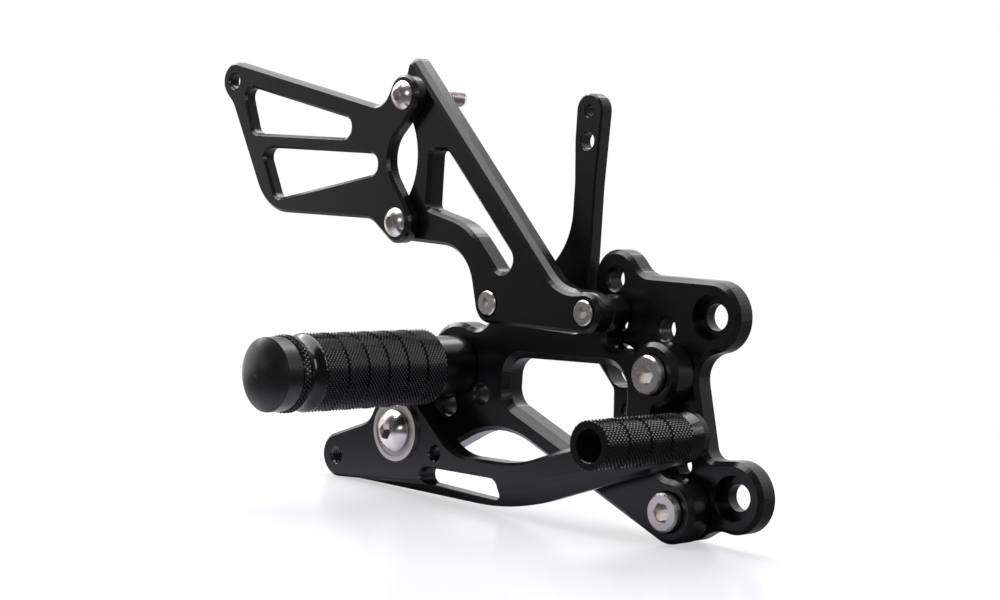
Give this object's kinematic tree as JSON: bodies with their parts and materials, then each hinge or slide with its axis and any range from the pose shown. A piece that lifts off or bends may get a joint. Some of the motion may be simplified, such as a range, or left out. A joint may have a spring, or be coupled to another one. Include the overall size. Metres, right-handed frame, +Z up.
{
  "type": "motorcycle rear set",
  "caption": "Right-hand motorcycle rear set: frame plate, footrest bracket with knurled footrest, heel guard, switch arm and a brake pedal that turns on a ball bearing.",
  "frame": {"origin": "centre of the upper frame hole at the frame plate's back face, which lies against the motorcycle frame", "axes": "+X forward on the motorcycle, +Y inwards towards the frame, +Z up, turned so that the part's lowest points stand level as in the picture"},
  "size_m": [0.2607, 0.1094, 0.1551],
  "materials": {
    "black_anodised": "black anodised, satin",
    "black_knurled": "black anodised, knurled",
    "screw_steel": "stainless, satin",
    "bearing_steel": "ground bearing steel"
  },
  "bodies": {
    "bracket_set": {"mount_plate": "black_anodised", "footrest_bracket": "black_anodised", "upper_bracket": "black_anodised", "heel_guard": "black_anodised", "switch_arm": "black_anodised", "bracket_bolt_upper": "screw_steel", "bracket_bolt_lower": "screw_steel", "clamp_screw_rear": "screw_steel", "clamp_screw_front": "screw_steel", "guard_bolt_upper": "screw_steel", "guard_bolt_lower": "screw_steel", "footrest_spacer": "black_anodised", "footrest_grip": "black_knurled", "footrest_end_cap": "black_anodised", "footrest_bolt": "screw_steel", "bearing_inner_ring": "bearing_steel", "bearing_balls": "bearing_steel", "pivot_spacer": "screw_steel", "pivot_bolt": "screw_steel"},
    "pedal": {"brake_pedal": "black_anodised", "toe_peg": "black_knurled", "toe_peg_screw": "screw_steel", "bearing_outer_ring": "bearing_steel", "bearing_shield_front": "bearing_steel", "bearing_shield_back": "bearing_steel"}
  },
  "joints": [
    {"name": "pedal_pivot", "type": "hinge", "parent": "bracket_set", "child": "pedal", "pos_m": [-0.1214, -0.0295, -0.0535], "axis": [0, 1, 0], "range_deg": [0, 15], "stiffness_Nm_per_rad": 2, "springref_deg": -17.19}
  ]
}
